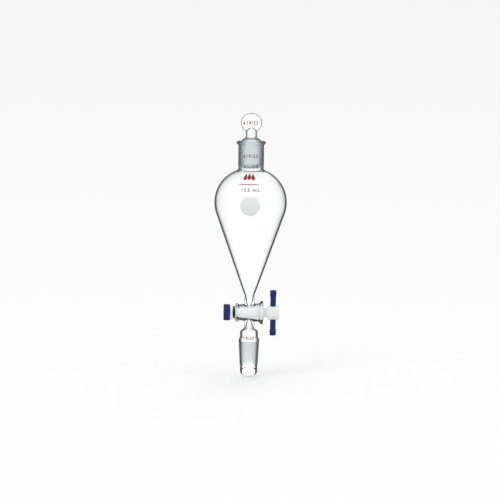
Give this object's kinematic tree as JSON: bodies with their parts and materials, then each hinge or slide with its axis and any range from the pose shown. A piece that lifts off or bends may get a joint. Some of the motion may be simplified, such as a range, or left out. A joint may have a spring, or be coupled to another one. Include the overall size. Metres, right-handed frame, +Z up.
{
  "type": "dropping funnel",
  "caption": "Pear-shaped glass dropping funnel with a ground-glass stopper, a PTFE stopcock with an upright blue handle bar, and a ground inner joint with a slanted drip tip.",
  "frame": {"origin": "on the funnel's axis, at the large end of the lower ground cone (its gauge plane)", "axes": "+Z up the funnel's axis, from the drip tip towards the stopper; X along the stopcock, with the handle at +X and the tension nut at -X; the enamel marks and the opening of the slanted tip face -Y"},
  "size_m": [0.0664, 0.0664, 0.2452],
  "materials": {
    "clear_glass": "gloss",
    "white_ptfe": "satin",
    "blue_plastic": "satin",
    "black_rubber": "matte",
    "red_enamel": "gloss",
    "white_enamel": "matte"
  },
  "bodies": {
    "glass": {"neck_socket": "clear_glass", "pear_bulb": "clear_glass", "stopcock_barrel": "clear_glass", "inner_joint": "clear_glass"},
    "stopper": {"stopper": "clear_glass"},
    "plug": {"stopcock_plug": "white_ptfe", "handle_bar": "blue_plastic"},
    "tension_set": {"plug_washer": "white_ptfe", "o_ring": "black_rubber"},
    "tension_nut": {"tension_nut": "blue_plastic"}
  },
  "joints": [
    {"name": "stopper_lift", "type": "slide", "parent": "glass", "child": "stopper", "axis": [0, 0, 1], "range_m": [0, 0.04]},
    {"name": "plug_turn", "type": "hinge", "parent": "glass", "child": "plug", "pos_m": [0, 0, 0.0261], "axis": [1, 0, 0], "continuous": true},
    {"name": "nut_travel", "type": "slide", "parent": "plug", "child": "tension_set", "axis": [-1, 0, 0], "range_m": [0, 0.0025]},
    {"name": "nut_spin", "type": "hinge", "parent": "tension_set", "child": "tension_nut", "pos_m": [-0.0207, 0, 0.0261], "axis": [-1, 0, 0], "range_deg": [0, 600]}
  ],
  "couplings": [
    {"joint": "nut_spin", "follows": "nut_travel", "rad_per_m": 4188.8}
  ]
}
